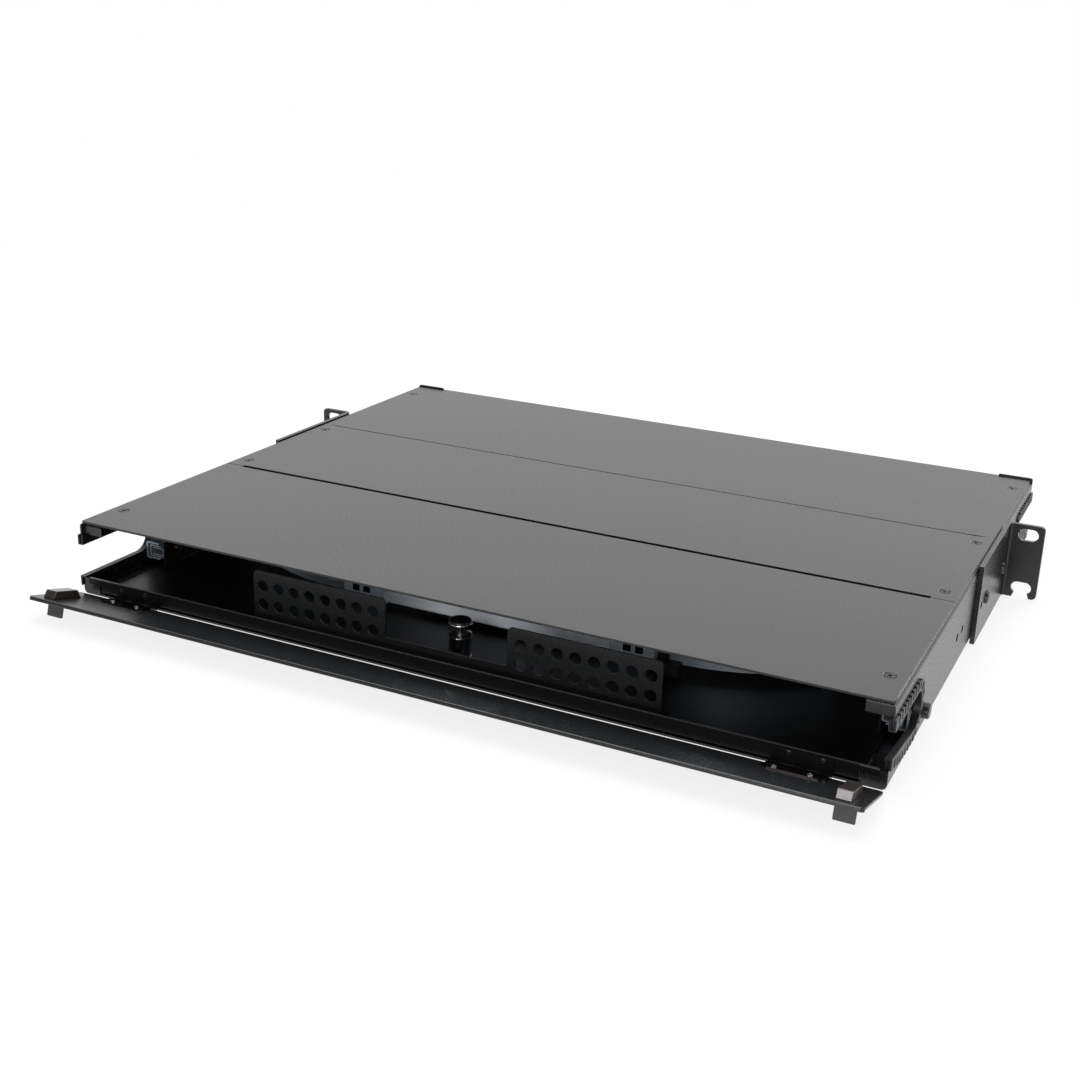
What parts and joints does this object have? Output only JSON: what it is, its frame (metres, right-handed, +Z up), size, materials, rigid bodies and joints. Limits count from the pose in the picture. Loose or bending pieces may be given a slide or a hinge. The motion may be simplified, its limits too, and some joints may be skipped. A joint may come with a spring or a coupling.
{
  "type": "sliding fibre patch drawer",
  "caption": "One-unit rack enclosure with a sliding tray, drop-down front door, locking plunger, slotted cable entries and a perforated tie bar for fibre patching.",
  "frame": {"origin": "middle of the rack ear slots, on the front faces of the two ears", "axes": "+X to the right seen from the front, +Y from the front to the rear, +Z up"},
  "size_m": [0.4826, 0.397, 0.0438],
  "materials": {
    "powder_coat": "satin fine-textured black powder coat",
    "black_plastic": "moulded matte black",
    "gloss_black": "glossy moulded black",
    "zinc": "blue zinc plate",
    "chrome": "polished nickel plate",
    "pale_nylon": "moulded, pale blue-white",
    "black_steel": "black oxide and black paint",
    "bright_steel": "bright plated steel"
  },
  "bodies": {
    "chassis": {"chassis": "powder_coat", "front_cover": "powder_coat", "middle_cover": "powder_coat", "rear_cover": "powder_coat", "cover_brace": "powder_coat", "cover_screws": "black_steel", "edge_grommet_front_right": "black_plastic", "edge_grommet_front_left": "black_plastic", "edge_grommet_rear_right": "black_plastic", "edge_grommet_rear_left": "black_plastic", "rack_bracket_right": "powder_coat", "rack_bracket_left": "powder_coat", "bracket_screws": "black_steel", "slide_outer_right": "zinc", "slide_outer_left": "zinc", "slide_spacers": "zinc", "slide_screws": "black_steel"},
    "slide_middle": {"slide_middle_right": "zinc", "slide_middle_left": "zinc"},
    "tray": {"tray": "powder_coat", "slide_inner_right": "zinc", "slide_inner_left": "zinc", "slide_rivets": "bright_steel", "cable_bar": "powder_coat", "cable_bar_screws": "bright_steel", "plunger_barrel": "chrome", "plunger_spring": "bright_steel", "crossbar": "zinc", "crossbar_standoffs": "zinc", "anchor_block_right": "pale_nylon", "anchor_block_left": "pale_nylon", "bend_guide_right": "pale_nylon", "bend_guide_left": "pale_nylon", "thumb_screws": "black_plastic", "deck_screws": "bright_steel", "adapter_frame": "powder_coat", "frame_screws": "bright_steel", "slack_spool_right": "black_plastic", "slack_spool_left": "black_plastic", "hinge_lip_leaf_right": "black_steel", "hinge_lip_leaf_left": "black_steel", "hinge_pin_right": "bright_steel", "hinge_pin_left": "bright_steel", "lip_screws": "bright_steel"},
    "door": {"front_door": "powder_coat", "hinge_door_leaf_right": "black_steel", "hinge_door_leaf_left": "black_steel", "latch_right": "gloss_black", "latch_left": "gloss_black", "door_screws": "bright_steel"},
    "plunger": {"plunger_shaft": "chrome", "plunger_cap": "gloss_black"}
  },
  "joints": [
    {"name": "tray_slide", "type": "slide", "parent": "chassis", "child": "tray", "axis": [0, -1, 0], "range_m": [0, 0.2]},
    {"name": "slide_middle_travel", "type": "slide", "parent": "chassis", "child": "slide_middle", "axis": [0, -1, 0], "range_m": [0, 0.1]},
    {"name": "door_hinge", "type": "hinge", "parent": "tray", "child": "door", "pos_m": [0, -0.264, -0.0195], "axis": [-1, 0, 0], "range_deg": [-16, 74]},
    {"name": "plunger_lift", "type": "slide", "parent": "tray", "child": "plunger", "axis": [0, 0, 1], "range_m": [0, 0.003], "stiffness_N_per_m": 500, "springref_m": -0.004, "deforming": ["plunger_spring"]}
  ],
  "couplings": [
    {"joint": "slide_middle_travel", "follows": "tray_slide", "ratio": 0.5}
  ]
}
